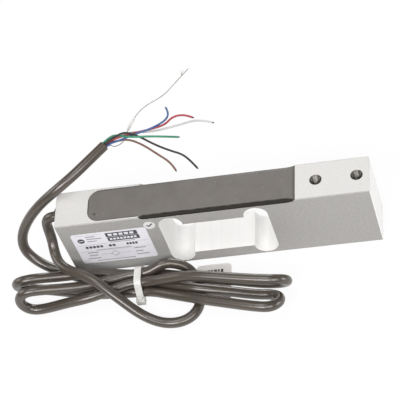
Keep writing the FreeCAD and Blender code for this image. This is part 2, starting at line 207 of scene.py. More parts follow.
jacketLook = {
    "name": "jacketPvc", "dark": (0.0475, 0.0383, 0.0295), "light": (0.066, 0.0532, 0.041),
    "cloud": 60, "grain": 350, "roughness": (0.26, 0.31), "relief": 0.015, "reliefDepth": 0.02,
    "sockets": {"Specular IOR Level": 0.95, "Specular Tint": (1, 0.965, 0.935, 1)},
}
cable = {
    "diameter": 5.0,
    "roundSteps": 6,
    "exit": (-75.0, 0.0, 35.4),
    "inside": (-70.0, 0.0, 35.4),
    "length": 0.87,  # in metres
}
leadPoints = [
    (-77.4, 0.0, 35.4), (-80.4, 0.1, 34.2), (-82.2, 0.0, 31.2), (-82.8, -0.4, 26.2),
    (-82.6, -2.6, 20.6), (-82.2, -7.4, 16.6), (-80.0, -13.2, 15.6), (-75.2, -18.0, 15.8),
    (-68.2, -21.4, 15.8), (-60.0, -26.4, 14.8), (-50.6, -33.4, 10.4), (-41.2, -39.8, 4.4),
    (-32.4, -44.2, 2.5), (-24.3, -45.9, 2.6), (-17.6, -44.2, 2.5), (-13.4, -40.2, 2.8),
    (-12.0, -34.4, 2.9), (-12.8, -28.0, 2.9), (-14.8, -21.4, 3.0), (-18.2, -17.2, 5.0),
    (-23.2, -16.0, 8.2), (-29.2, -16.6, 10.8),
]
tailPoints = [
    (-54.5, -20.4, 2.5), (-62.5, -18.2, 2.6), (-70.0, -15.4, 2.5),
    (-77.0, -12.6, 2.5), (-83.6, -9.2, 2.5), (-90.6, -6.4, 4.4), (-96.6, -3.2, 8.0),
    (-99.8, -0.4, 13.2), (-98.6, 2.8, 20.0), (-93.0, 5.2, 28.2), (-84.2, 6.4, 37.4),
    (-74.4, 8.0, 44.4), (-65.0, 13.2, 47.6), (-57.4, 20.2, 48.7), (-50.0, 28.0, 49.0),
]
bundle = {
    "tieX": -41.5, "tieHalf": 4.5, "middleY": -21.8, "pitch": 5.05, "lowZ": 3.6, "foldSteps": 4,
    "nearShares": (0, 0.5, 1), "farShares": (0.45, 0.85),  # where a strand gets its points
}
bundle["highZ"] = bundle["lowZ"] + bundle["pitch"] * math.sin(math.radians(60))  # stacked in triangles
strandPlaces = {
    "backTop": (bundle["middleY"] + bundle["pitch"] / 2, bundle["highZ"]),
    "frontTop": (bundle["middleY"] - bundle["pitch"] / 2, bundle["highZ"]),
    "back": (bundle["middleY"] + bundle["pitch"], bundle["lowZ"]),
    "middle": (bundle["middleY"], bundle["lowZ"]),
    "front": (bundle["middleY"] - bundle["pitch"], bundle["lowZ"]),
}
hankTurns = [  # each fold: strands as (y, z) at the tie, halfway and at the tip
    {"side": -1, "reach": -99.6, "halfway": -66.0, "out": ("backTop", (-24.0, 9.2), (-28.8, 16.6)),
     "back": ("frontTop", (-30.2, 7.9), (-30.2, 2.6))},
    {"side": 1, "reach": 30.4, "halfway": -14.0, "out": ("frontTop", (-28.0, 14.8), (-35.8, 15.4)),
     "back": ("back", (-25.3, 8.6), (-29.6, 2.6))},
    {"side": -1, "reach": -102.0, "halfway": -66.0, "out": ("back", (-15.8, 7.9), (-22.0, 16.4)),
     "back": ("front", (-24.8, 2.5), (-18.0, 2.6))},
    {"side": 1, "reach": 26.6, "halfway": -14.0, "out": ("front", (-36.8, 8.6), (-47.0, 10.0)),
     "back": ("middle", (-31.3, 8.5), (-35.4, 2.6))},
]


def strandPoints(turn, strand, foldX):
    place, halfway, tip = strand
    start = Vector((bundle["tieX"] + turn["side"] * bundle["tieHalf"], *strandPlaces[place]))
    middle, end = Vector((turn["halfway"], *halfway)), Vector((foldX, *tip))
    points = []
    for a, b, shares in ((start, middle, bundle["nearShares"]), (middle, end, bundle["farShares"])):
        for t in shares:
            point = a.lerp(b, t)
            point.z = a.z + (b.z - a.z) * t * t * (3 - 2 * t)  # the height eases in and out
            points.append(point)
    return points


def foldPoints(turn):
    outTip, backTip = Vector(turn["out"][2]), Vector(turn["back"][2])
    middle, radius = (outTip + backTip) / 2, (outTip - backTip).length / 2
    foldX = turn["reach"] - turn["side"] * radius
    step = math.pi / bundle["foldSteps"]
    reach = radius / math.cos(step / 2)
    bend = []
    for k in range(bundle["foldSteps"]):
        angle = step * (k + 0.5)
        across = middle + (outTip - middle).normalized() * reach * math.cos(angle)
        bend.append(Vector((foldX + turn["side"] * reach * math.sin(angle), *across)))
    back = strandPoints(turn, turn["back"], foldX)
    return strandPoints(turn, turn["out"], foldX) + bend + back[::-1]


def cablePoints():
    points = [cable["inside"], cable["exit"]] + leadPoints
    points.append((bundle["tieX"] + bundle["tieHalf"], *strandPlaces["backTop"]))
    for turn in hankTurns:
        points += foldPoints(turn)
    points.append((bundle["tieX"] - bundle["tieHalf"], *strandPlaces["middle"]))
    return points + tailPoints


jacketMaterial = grainFinish(jacketLook)
jacket = addPiece("cableJacket", cordCurve("cableJacket", cablePoints()), jacketMaterial,
                  ("cable_lead", "cable_hank", "cable_tail"))
jacketLine = centreLine(jacket)
thicken(jacket.data, cable["diameter"], cable["roundSteps"])
print("cable:", len(jacketLine), "points along it")

coreLooks = {
    "green": {"dark": (0.03, 0.20, 0.112), "light": (0.053, 0.275, 0.162)},
    "white": {"dark": (0.50, 0.485, 0.49), "light": (0.56, 0.545, 0.55)},
    "black": {"dark": (0.016, 0.014, 0.013), "light": (0.034, 0.030, 0.028)},
    "red": {"dark": (0.32, 0.03, 0.043), "light": (0.41, 0.05, 0.069)},
    "blue": {"dark": (0.041, 0.087, 0.225), "light": (0.061, 0.127, 0.31)},
    "brown": {"dark": (0.16, 0.075, 0.06), "light": (0.228, 0.114, 0.091)},
}
coreRoutes = {  # place round the cable in degrees, length in metres, points
    "green": (120, 0.040, [
        (-44.6, 32.4, 51.0), (-37.3, 28.9, 51.8), (-25.1, 27.9, 51.7), (-14.2, 29.2, 47.0)]),
    "white": (180, 0.056, [
        (-44.5, 32.8, 48.0), (-38.8, 35.4, 47.6), (-27.5, 34.2, 47.1), (-15.2, 37.2, 45.7),
        (-5.4, 40.6, 44.5), (1.4, 38.2, 43.4)]),
    "black": (60, 0.054, [
        (-43.6, 30.0, 52.4), (-38.4, 30.6, 54.2), (-33.1, 30.3, 50.3), (-24.4, 24.4, 49.0),
        (-17.0, 21.0, 47.4), (-12.2, 19.2, 46.6), (-8.3, 15.9, 45.2), (-5.1, 11.9, 44.0)]),
    "red": (None, 0.047, [
        (-44.4, 31.0, 49.5), (-37.0, 32.2, 50.2), (-26.6, 34.2, 49.3), (-20.4, 36.1, 48.9),
        (-17.2, 41.0, 48.2), (-11.6, 42.2, 47.2), (-7.7, 40.3, 46.5)]),
    "blue": (0, 0.043, [
        (-43.4, 30.2, 48.4), (-35.6, 30.6, 51.1), (-26.0, 33.3, 50.9), (-19.9, 39.0, 48.8),
        (-19.4, 44.4, 47.6), (-21.1, 47.9, 47.0)]),
    "brown": (240, 0.043, [
        (-44.5, 31.6, 46.8), (-38.9, 32.2, 46.3), (-31.8, 28.2, 45.8), (-24.9, 22.4, 45.0),
        (-18.0, 17.2, 43.4), (-16.1, 13.7, 41.8)]),
}
core = {"diameter": 1.0, "roundSteps": 4, "ringRadius": 1.35, "leadOut": 2.5, "inside": 1.0}
coreSkin = {
    "cloud": 120, "grain": 2500, "roughness": (0.36, 0.46), "relief": 0.02, "reliefDepth": 0.02,
    "sockets": {"Specular IOR Level": 0.4},
}
copperLook = {
    "name": "bareCopper", "dark": (0.10, 0.045, 0.025), "light": (0.20, 0.09, 0.05),
    "cloud": 900, "grain": 4000, "roughness": (0.35, 0.6), "relief": 0.3, "reliefDepth": 0.03,
    "sockets": {"Metallic": 0.8},
}
copperTip = {
    "strand": 0.17, "ring": 0.25, "length": 1.3, "back": 0.6, "ringStrands": 6, "sides": 8,
    "spread": 0.5, "spreadTurn": 3.1, "taperFrom": 0.95, "taper": 0.5,
}


def strippedStart(place):
    last, end = Vector(tailPoints[-2]), Vector(tailPoints[-1])
    ahead = (end - last).normalized()
    across = ahead.cross(Vector((0, 0, 1))).normalized()
    up = across.cross(ahead)
    if place is None:
        return end, ahead
    turn = math.radians(place)
    return end + (across * math.cos(turn) + up * math.sin(turn)) * core["ringRadius"], ahead


def strippedPoints(place, points):
    start, ahead = strippedStart(place)
    return [start - ahead * core["inside"], start + ahead * core["leadOut"]] + points


def tipMesh(name, line):
    shape = bmesh.new()
    ahead = (line[-1] - line[-2]).normalized()
    side = ahead.orthogonal().normalized()
    up = ahead.cross(side)
    outer, radius = copperTip["ringStrands"], copperTip["strand"] / 2
    radii = (radius, radius, radius, radius * copperTip["taper"])
    for k in range(outer + 1):  # the last strand is the one in the middle
        turn = 2 * math.pi * k / outer
        off = (side * math.cos(turn) + up * math.sin(turn)) * (copperTip["ring"] if k < outer else 0)
        spread = 1 + copperTip["spread"] * math.sin(copperTip["spreadTurn"] * k)
        start = line[-1] - ahead * copperTip["back"] + off
        end = line[-1] + ahead * (copperTip["length"] - copperTip["back"]) + off * spread
        path = [start, start.lerp(end, 0.5), start.lerp(end, copperTip["taperFrom"]), end]
        rows = joinRings(shape, tubeRings(path, radii, copperTip["sides"]), True)
        shape.faces.new(rows[-1])
    return meshFrom(name, shape)


copper = grainFinish(copperLook)
for colour, (place, length, points) in coreRoutes.items():
    name = "core" + colour.title()
    curve = cordCurve(name, strippedPoints(place, points))
    skin = grainFinish({"name": name, **coreSkin, **coreLooks[colour]})
    piece = addPiece(name, curve, skin, ("core_" + colour,))
    tip = addPiece(name + "Tip", tipMesh(name + "Tip", centreLine(piece)), copper)
    thicken(curve, core["diameter"], core["roundSteps"])
print("cores laid")

drain = {
    "diameter": 0.4, "roundSteps": 3, "place": 300, "length": 0.064,  # place in degrees, length in metres
    "sleeve": (0.455, 0.56), "sleeveRadius": 0.75, "sleeveSides": 20, "sleeveTaper": 0.3, "taperPower": 6,
    "frayFrom": -4, "frayRadii": (0.16, 0.15, 0.12), "fraySides": 8,
}
drainPoints = [
    (-45.7, 28.4, 46.2), (-41.6, 31.6, 45.1), (-40.6, 38.0, 44.8), (-37.0, 46.8, 44.9),
    (-32.4, 52.6, 44.8), (-23.4, 57.8, 44.2), (-18.4, 65.4, 43.4), (-12.0, 74.4, 42.6),
]
frayStrands = [  # loose strands at the tip, as steps from the wire
    [(0, 0, 0), (0.05, 1.0, 0.6), (-0.1, 2.1, 1.6)],
    [(0, 0, 0), (0.5, 1.2, 0.6), (1.2, 2.4, 1.4)],
    [(0, 0, 0), (1.1, 1.0, 0.4), (2.4, 2.0, 1.1)],
]
tinLook = {
    "name": "tinnedStrands", "dark": (0.22, 0.21, 0.195), "light": (0.40, 0.38, 0.355),
    "cloud": 500, "grain": 3500, "roughness": (0.3, 0.5), "relief": 0.5, "reliefDepth": 0.05,
    "sockets": {"Metallic": 0.6},
}
sleeveLook = {
    "name": "clearSleeve", "dark": (0.72, 0.71, 0.68), "light": (0.80, 0.79, 0.76),
    "cloud": 400, "grain": 2500, "roughness": (0.3, 0.42), "relief": 0.05, "reliefDepth": 0.03,
    "sockets": {"Transmission Weight": 0.1, "IOR": 1.45},
}


def makeDrain():
    tin = grainFinish(tinLook)
    curve = cordCurve("drainWire", strippedPoints(drain["place"], drainPoints))
    wire = addPiece("drainWire", curve, tin, ("drain_wire",))
    line = centreLine(wire)
    thicken(curve, drain["diameter"], drain["roundSteps"])
    first, last = (int(share * len(line)) for share in drain["sleeve"])
    covered = line[first:last]
    fromMiddle = [abs(2 * k / (len(covered) - 1) - 1) for k in range(len(covered))]
    radii = [drain["sleeveRadius"] * (1 - drain["sleeveTaper"] * off ** drain["taperPower"])
             for off in fromMiddle]
    sleeveMesh = tubeMesh("drainSleeve", covered, radii, drain["sleeveSides"])
    sleeve = addPiece("drainSleeve", sleeveMesh, grainFinish(sleeveLook), ("drain_sleeve",))
    shape = bmesh.new()
    for strand in frayStrands:
        path = [line[drain["frayFrom"]] + Vector(step) for step in strand]
        rows = joinRings(shape, tubeRings(path, drain["frayRadii"], drain["fraySides"]), True)
        shape.faces.new(rows[-1])
    fray = addPiece("drainFray", meshFrom("drainFray", shape), tin)


makeDrain()
print("drain wire laid")

tie = {
    "width": 3.4, "inner": 2.52, "outer": 3.55, "soft": 0.14, "arcSteps": 10,
    "headSize": (4.3, 3.0, 3.5), "headMiddle": (-41.5, -31.1, 2.1), "headBevel": 0.45,
    "stubSize": (2.4, 1.0, 1.8), "stubMiddle": (-41.5, -31.0, 3.9), "stubBevel": 0.2,
    "teeth": 3, "toothSize": (1.8, 0.3, 0.2), "toothStart": (0, -0.5, 0.1), "toothPitch": 0.32,
    "toothBevel": 0.06,
}
nylonLook = {
    "name": "naturalNylon", "dark": (0.60, 0.592, 0.565), "light": (0.69, 0.682, 0.655),
    "cloud": 300, "grain": 1500, "roughness": (0.32, 0.46), "relief": 0.1, "reliefDepth": 0.04,
    "sockets": {"Subsurface Weight": 0.15, "Subsurface Scale": 0.0005, "Subsurface Radius": (1, 1, 1),
                "IOR": 1.53},
}


def tieLoop(offset):
    middle, pitch = bundle["middleY"], bundle["pitch"]
    corners = [Vector((middle + pitch, bundle["lowZ"])), Vector((middle + pitch / 2, bundle["highZ"])),
               Vector((middle - pitch / 2, bundle["highZ"])), Vector((middle - pitch, bundle["lowZ"]))]
    loop = []
    for k, corner in enumerate(corners):
        arrive, leave = corner - corners[k - 1], corners[(k + 1) % len(corners)] - corner
        start = math.atan2(-arrive.x, arrive.y)
        sweep = (math.atan2(-leave.x, leave.y) - start) % (2 * math.pi)
        for step in range(tie["arcSteps"] + 1):
            angle = start + sweep * step / tie["arcSteps"]
            loop.append(corner + Vector((math.cos(angle), math.sin(angle))) * offset)
    return loop


def tieBand(shape):
    half, soft = tie["width"] / 2, tie["soft"]
    profile = [(-half, tie["inner"] + soft), (-half + soft, tie["inner"]), (half - soft, tie["inner"]),
               (half, tie["inner"] + soft), (half, tie["outer"] - soft), (half - soft, tie["outer"]),
               (-half + soft, tie["outer"]), (-half, tie["outer"] - soft)]
    rings = []
    for across, offset in profile:
        rings.append([(bundle["tieX"] + across, p.x, p.y) for p in tieLoop(offset)])
    joinRings(shape, rings, True, True)


def softBox(shape, size, middle, bevel):
    place = Matrix.Translation(Vector(middle) * milli) @ Matrix.Diagonal((*(Vector(size) * milli), 1))
    made = bmesh.ops.create_cube(shape, size=1, matrix=place)["verts"]
    edges = list({edge for vert in made for edge in vert.link_edges})
    bmesh.ops.bevel(shape, geom=edges, offset=bevel * milli, segments=3, profile=0.5, affect="EDGES")


def makeTie():
    shape = bmesh.new()
    tieBand(shape)
    softBox(shape, tie["headSize"], tie["headMiddle"], tie["headBevel"])
    softBox(shape, tie["stubSize"], tie["stubMiddle"], tie["stubBevel"])
    x, y, z = (a + b for a, b in zip(tie["stubMiddle"], tie["toothStart"]))
    for k in range(tie["teeth"]):
        softBox(shape, tie["toothSize"], (x, y, z + tie["toothPitch"] * k), tie["toothBevel"])
    nylon = grainFinish(nylonLook)
    return addPiece("cableTie", meshFrom("cableTie", shape), nylon, ("cable_tie",))


cableTie = makeTie()
print("tie closed")

filmLooks = {
    "label": {
        "name": "labelFilm", "dark": (0.79, 0.775, 0.827), "light": (0.85, 0.835, 0.88), "cloud": 80,
        "grain": 900, "roughness": (0.3, 0.42), "relief": 0.1, "reliefDepth": 0.03, "sockets": {}},
    "sticker": {
        "name": "stickerFilm", "dark": (0.69, 0.68, 0.685), "light": (0.75, 0.74, 0.745), "cloud": 200,
        "grain": 1200, "roughness": (0.3, 0.42), "relief": 0.1, "reliefDepth": 0.03, "sockets": {}},
    "marker": {
        "name": "markerFilm", "dark": (0.93, 0.89, 0.88), "light": (0.97, 0.94, 0.93), "cloud": 90,
        "grain": 700, "roughness": (0.3, 0.45), "relief": 0.1, "reliefDepth": 0.04,
        "sockets": {"Specular IOR Level": 0.45}},
    "ink": {
        "name": "printInk", "dark": (0.03, 0.03, 0.034), "light": (0.075, 0.075, 0.08), "cloud": 700,
        "grain": 3000, "roughness": (0.4, 0.6), "relief": 0.1, "reliefDepth": 0.02, "sockets": {}},
    "paleInk": {
        "name": "paleInk", "dark": (0.17, 0.165, 0.18), "light": (0.36, 0.35, 0.385), "cloud": 1500,
        "grain": 3000, "roughness": (0.4, 0.6), "relief": 0.1, "reliefDepth": 0.02, "sockets": {}},
}
films = {name: grainFinish(look) for name, look in filmLooks.items()}
marker = {
    "wrapX": (-16.0, -8.0), "wrapY": (-35.6, -27.6), "wrapTop": 4,  # the stretch of cable that it wraps
    "wrapRadius": 2.66, "wrapThick": 0.12, "wrapSides": 32, "filmZ": (0.03, 0.26),
    "corners": [(1.8, -13.5), (-15.5, -13.5), (-15.5, -35.8), (1.8, -35.8)], "cornerRadius": 2.2,
    "marks": [(-10.0, 1.3), (-8.2, 0.9), (-6.8, 1.5), (-4.8, 0.8), (-3.4, 1.2)],  # left side and width
    "marksY": (-18.3, -16.6), "inkThick": 0.03, "inkBevel": 0.01,
}


def roundedOutline(corners, radius, steps=6):
    outline = []
    for k, corner in enumerate(corners):
        here = Vector(corner)
        before = (Vector(corners[k - 1]) - here).normalized()
        after = (Vector(corners[(k + 1) % len(corners)]) - here).normalized()
        centre = here + (before + after) * radius
        for step in range(steps + 1):
            turn = math.pi / 2 * step / steps
            outline.append(centre - after * radius * math.cos(turn) - before * radius * math.sin(turn))
    return outline


def isWrapped(point):
    (nearX, farX), (nearY, farY) = marker["wrapX"], marker["wrapY"]
    return nearX < point.x < farX and nearY < point.y < farY and point.z < marker["wrapTop"]


def makeMarker():
    shape = bmesh.new()
    low, high = marker["filmZ"]
    outline = roundedOutline(marker["corners"], marker["cornerRadius"])
    rows = joinRings(shape, [[(p.x, p.y, z) for p in outline] for z in (low, high)], True)
    shape.faces.new(rows[0])
    shape.faces.new(rows[1])
    wrapped = [point for point in jacketLine if isWrapped(point)]
    radius, sides = marker["wrapRadius"], marker["wrapSides"]
    outer = tubeRings(wrapped, [radius + marker["wrapThick"]] * len(wrapped), sides)
    inner = tubeRings(wrapped, [radius] * len(wrapped), sides)
    joinRings(shape, outer + inner[::-1], True, True)
    return addPiece("cableMarker", meshFrom("cableMarker", shape), films["marker"],
                    ("cable_marker",))


def makeMarkerPrint():
    shape = bmesh.new()
    low, high = marker["marksY"]
    thick = marker["inkThick"]
    inkZ = marker["filmZ"][1] + thick / 2
    for x, width in marker["marks"]:
        middle = (x + width / 2, (low + high) / 2, inkZ)
        softBox(shape, (width, high - low, thick), middle, marker["inkBevel"])
    return addPiece("cableMarkerPrint", meshFrom("cableMarkerPrint", shape), films["ink"])


cableMarker, markerPrint = makeMarker(), makeMarkerPrint()
print("marker wrapped")

seal = {  # outline as x and radius, swells as size, count and shift
    "buried": [(-58.0, 2.5), (-58.0, 3.5), (-75.0, 3.5)],
    "bead": [(-75.05, 4.0), (-75.4, 3.95), (-75.9, 3.5), (-76.15, 3.0), (-76.2, 2.62), (-76.2, 2.5)],
    "sides": 48, "swells": [(0.05, 3, 0.6), (0.03, 7, 0)],
}
sealLook = {
    "name": "entrySealant", "dark": (0.03, 0.03, 0.03), "light": (0.06, 0.058, 0.055),
    "cloud": 250, "grain": 1200, "roughness": (0.35, 0.6), "relief": 0.4, "reliefDepth": 0.1,
    "sockets": {"Specular IOR Level": 0.45},
}


def sealRing(turn):
    bore, height = cable["diameter"] / 2, cable["exit"][2]
    swell = 1 + sum(size * math.sin(count * turn + shift) for size, count, shift in seal["swells"])
    bead = [(x, bore + (radius - bore) * swell) for x, radius in seal["bead"]]  # only the bead is uneven
    outline = seal["buried"] + bead
    return [(x, radius * math.cos(turn), height + radius * math.sin(turn)) for x, radius in outline]


def makeSeal():
    shape = bmesh.new()
    turns = [2 * math.pi * k / seal["sides"] for k in range(seal["sides"])]
    joinRings(shape, [sealRing(turn) for turn in turns], True, True)
    return addPiece("entrySeal", meshFrom("entrySeal", shape), grainFinish(sealLook),
                    ("cable_entry_seal",))


entrySeal = makeSeal()

potting = {
    "left": -59.0, "right": 40.45, "rimEnd": -34.0, "rimHalf": 9.0, "openHalf": 9.9, "corner": 6.0,
    "top": 39.8, "floor": 38.2, "shoulder": (2.4, 1.45), "rimShoulder": (0.35, 0.3),
    "dimple": (-55.5, -4.5), "dimpleSize": 0.9, "dimpleDepth": 0.5, "dimpleFall": 2.5,
    "growBefore": 0.6, "growOver": 2.6, "fadeOver": 4.5, "brim": 39.96, "skin": 0.01,
    "waves": [(0.035, 0.16, 0.22, 1.7), (0.014, 0.7, 0.7, 5.1)],  # height, scale along and across, seed
    "cornerSteps": 12, "openSteps": 12, "endSteps": 24, "arcSteps": 8, "acrossSteps": 40,
    "pitches": {"rim": 0.5, "step": 0.02, "opening": 0.25, "along": 0.6, "end": 0.2},
}


def pottingStations():
    left, right, corner, rimEnd = (potting[key] for key in ("left", "right", "corner", "rimEnd"))
    pitch = potting["pitches"]
    turns = [math.radians(90 * k / potting["cornerSteps"]) for k in range(potting["cornerSteps"] + 1)]
    stations = [left + corner * (1 - math.cos(turn)) for turn in turns]
    rimCount = round((rimEnd - left - corner) / pitch["rim"])
    stations += [left + corner + pitch["rim"] * k for k in range(1, rimCount)]
    stations += [rimEnd - pitch["step"], rimEnd]
    stations += [rimEnd + pitch["opening"] * k for k in range(1, potting["openSteps"] + 1)]
    start, endStart = stations[-1], right - pitch["end"] * potting["endSteps"]
    alongCount = math.ceil((endStart - pitch["end"] - start) / pitch["along"])
    stations += [start + pitch["along"] * k for k in range(1, alongCount)]
    return stations + [endStart + pitch["end"] * k for k in range(potting["endSteps"] + 1)]


def pottingSection(x):
    half = potting["rimHalf"] if x < potting["rimEnd"] else potting["openHalf"]
    into = x - potting["left"]
    if into < potting["corner"]:
        flat = half - potting["corner"]
        half = flat + math.sqrt(max(0, potting["corner"] ** 2 - (potting["corner"] - into) ** 2))
    grow = min(1, max(0, (x - potting["rimEnd"] + potting["growBefore"]) / potting["growOver"]))
    fade = min(1, max(0, (potting["right"] - x) / potting["fadeOver"]))  # full to the brim at the far end
    share = grow * fade * (2 - fade)
    sizes = zip(potting["rimShoulder"], potting["shoulder"])
    width, drop = (low + (high - low) * share for low, high in sizes)
    return half, width, drop


def dimpleShare(x, y, fall):
    away = math.hypot(x - potting["dimple"][0], y - potting["dimple"][1]) / potting["dimpleSize"]
    return math.exp(-away * away * fall)


def pottingHeight(x, y, z):
    lowest = potting["floor"] + potting["skin"]
    if z > lowest:
        z += sum(height * noise.noise(Vector((x * along, y * across, seed)))
                 for height, along, across, seed in potting["waves"])
        z = max(z - potting["dimpleDepth"] * dimpleShare(x, y, potting["dimpleFall"]), lowest)
    return min(z, potting["brim"])


def pottingRing(x):
    half, width, drop = pottingSection(x)
    top, floor = potting["top"], potting["floor"]
    arc = []
    for k in range(potting["arcSteps"] + 1):
        turn = math.radians(90 * k / potting["arcSteps"])
        arc.append((half - width * (1 - math.cos(turn)), top - drop * (1 - math.sin(turn))))
    inner, count = half - width, potting["acrossSteps"]
    across = [(inner * (1 - 2 * k / count), top) for k in range(1, count)]
    rim = [(half, floor)] + arc + across + [(-y, z) for y, z in arc[::-1]] + [(-half, floor)]
    return [(x, y, pottingHeight(x, y, z)) for y, z in rim]


pottingLook = {
    "name": "pottingCompound", "dark": (0.148, 0.1365, 0.127), "light": (0.168, 0.1555, 0.145),
    "cloud": 160, "grain": 1400, "roughness": (0.40, 0.52), "relief": 0.25, "reliefDepth": 0.05,
    # edge is the colour of the painted shade on the shoulders, at the rim, at the far end and in the dimple
    "sockets": {"Specular IOR Level": 0.35}, "edge": (0.011, 0.009, 0.006), "edgeRoughness": 0.7,
    "speck": (0.24, 0.22, 0.205), "speckScale": 220, "speckSize": (0.09, 0.05),
}
pottingPaintedShade = {  # painted shade: the dark strip along the shoulders, wider at the front, and the bands at the rim, the far end and round the dimple
    "front": 0.72, "back": 0.4, "soft": 0.3, "ragged": 0.12, "raggedScale": (0.35, 0.5), "seed": 0.3,
    "rimShade": 0.8, "rimWidth": 0.8, "endShade": 0.6, "endWidth": 1.6, "dimpleShade": 0.9, "dimpleFall": 2,
}
mixSockets = {"first": 6, "second": 7, "result": 2}  # the mix node's colour sockets


def mixColours(nodes, links, factor, first, second):
    blend = nodes.new("ShaderNodeMix")
    blend.data_type = "RGBA"
    links.new(factor, blend.inputs["Factor"])
    links.new(first, blend.inputs[mixSockets["first"]])
    if isinstance(second, tuple):
        blend.inputs[mixSockets["second"]].default_value = (*second, 1)
    else:
        links.new(second, blend.inputs[mixSockets["second"]])
    return blend.outputs[mixSockets["result"]]


def baseTone(material):
    nodes, links = material.node_tree.nodes, material.node_tree.links
    shader = nodes["Principled BSDF"]
    return nodes, links, shader, shader.inputs["Base Color"].links[0].from_socket


def objectPlace(nodes):
    return next(node for node in nodes if node.type == "TEX_COORD").outputs["Object"]


def paintShadeByMark(material, mark, colour):
    nodes, links, shader, tone = baseTone(material)
    share = nodes.new("ShaderNodeAttribute")
    share.attribute_name = mark
    links.new(mixColours(nodes, links, share.outputs["Fac"], tone, colour), shader.inputs["Base Color"])
    return share.outputs["Fac"]


def pottingSpecksAndPaintedShade(look):
    material = grainFinish(look)
    nodes, links, shader, tone = baseTone(material)
    cells = nodes.new("ShaderNodeTexVoronoi")
    cells.inputs["Scale"].default_value = look["speckScale"]
    links.new(objectPlace(nodes), cells.inputs["Vector"])
    dot = nodes.new("ShaderNodeMapRange")
    dot.inputs["From Min"].default_value, dot.inputs["From Max"].default_value = look["speckSize"]
    links.new(cells.outputs["Distance"], dot.inputs["Value"])
    specked = mixColours(nodes, links, dot.outputs["Result"], tone, look["speck"])
    links.new(specked, shader.inputs["Base Color"])
    # painted shade: the compound goes dark where the shade mark is high
    rim = paintShadeByMark(material, "paintedShadeTone", look["edge"])
    dull = nodes.new("ShaderNodeMix")  # the painted shade is duller too
    links.new(rim, dull.inputs["Factor"])
    links.new(shader.inputs["Roughness"].links[0].from_socket, dull.inputs["A"])
    dull.inputs["B"].default_value = look["edgeRoughness"]
    links.new(dull.outputs["Result"], shader.inputs["Roughness"])
    return material


# Painted shade on the compound: darker along the shoulders, at the rim, at the far end and in the dimple.
def paintedShadeTone(x, y):
    half, width = pottingSection(x)[:2]
    near = half - abs(y)
    wide = pottingPaintedShade["front"] if y < 0 else pottingPaintedShade["back"]
    along, across = pottingPaintedShade["raggedScale"]
    ragged = pottingPaintedShade["ragged"] * noise.noise(Vector((x * along, y * across, pottingPaintedShade["seed"])))
    strip = (width * wide - near + ragged) / pottingPaintedShade["soft"]
    rim = pottingPaintedShade["rimShade"] * (1 - min(near, x - potting["left"]) / pottingPaintedShade["rimWidth"])
    end = pottingPaintedShade["endShade"] * (1 - (potting["right"] - x) / pottingPaintedShade["endWidth"])
    dimple = pottingPaintedShade["dimpleShade"] * dimpleShare(x, y, pottingPaintedShade["dimpleFall"])
    return min(1, max(0, strip, rim, end, dimple))


def makePotting():
    shape = bmesh.new()
    rows = joinRings(shape, [pottingRing(x) for x in pottingStations()], True)
    shape.faces.new(rows[0])
    shape.faces.new(rows[-1])
    mesh = meshFrom("gaugePotting", shape, sharpAngle=60)
    # the painted shade mark, one value per point
    paintedShades = mesh.attributes.new("paintedShadeTone", "FLOAT", "POINT")
    for item, vert in zip(paintedShades.data, mesh.vertices):
        item.value = paintedShadeTone(vert.co.x / milli, vert.co.y / milli)
    addPiece("gaugePotting", mesh, pottingSpecksAndPaintedShade(pottingLook), ("gauge_potting",))


makePotting()
print("potting cast")

thread = {
    "places": [(69, 40, -1), (50, 40, -1), (-69, 0, 1), (-50, 0, 1)],  # x, height of the mouth, way in
    "pitch": 1.0, "root": 2.48, "crest": 1.98, "turns": 15, "start": 0.05, "sides": 40,
    "section": [(-0.5, "root"), (-0.08, "crest"), (0.08, "crest"), (0.5, "root")],  # in pitches
    "mouth": [(2.86, 0.02), (2.68, 0.2), (2.49, 0.39)], "mouthRaise": 0.01,
}
# Painted shade inside the tapped holes: the thread colour is dark, and it is darker still in the roots.
threadLook = {
    "name": "threadPaintedShade", "dark": (0.15, 0.137, 0.124), "light": (0.27, 0.252, 0.234),
    "cloud": 400, "grain": 2500, "roughness": (0.25, 0.45), "relief": 0.2, "reliefDepth": 0.03,
    # root is the painted shade colour for the thread roots
    "sockets": {"Metallic": 0.6}, "root": (0.03, 0.027, 0.025),
}
# One aluminium painted in lit and shaded copies: faces that no mask reaches, such as the window and slots,
# keep the brightest tone as painted light.
aluminiumLook = {
    "name": "aluminiumPaintedLight", "dark": (0.866, 0.856, 0.842), "light": (0.908, 0.899, 0.888),
    "cloud": 520, "grain": 1600, "stretch": (1, 0.06, 1), "roughness": (0.48, 0.62),
    "relief": 0.15, "reliefDepth": 0.04, "sockets": {"Metallic": 0.15, "Specular IOR Level": 0.5},
    "faces": [  # painted light and shade by face, from this far out: ends and top painted less bright than the unmasked faces, broken edges and sides painted darker
        {"where": "end", "from": 74.9, "grain": 900,
         "dark": (0.845, 0.837, 0.825), "light": (0.885, 0.878, 0.868)},
        {"where": "up", "from": 39.5, "grain": 1300,
         "dark": (0.64, 0.625, 0.61), "light": (0.705, 0.69, 0.675)},
        {"where": "edge", "from": 49.56, "grain": 800,
         "dark": (0.33, 0.321, 0.31), "light": (0.40, 0.39, 0.377)},
        {"where": "side", "from": 9.97, "grain": 1000,
         "dark": (0.345, 0.333, 0.319), "light": (0.42, 0.406, 0.39)},
    ],
    "brushed": (0.75, 1, 1),
}


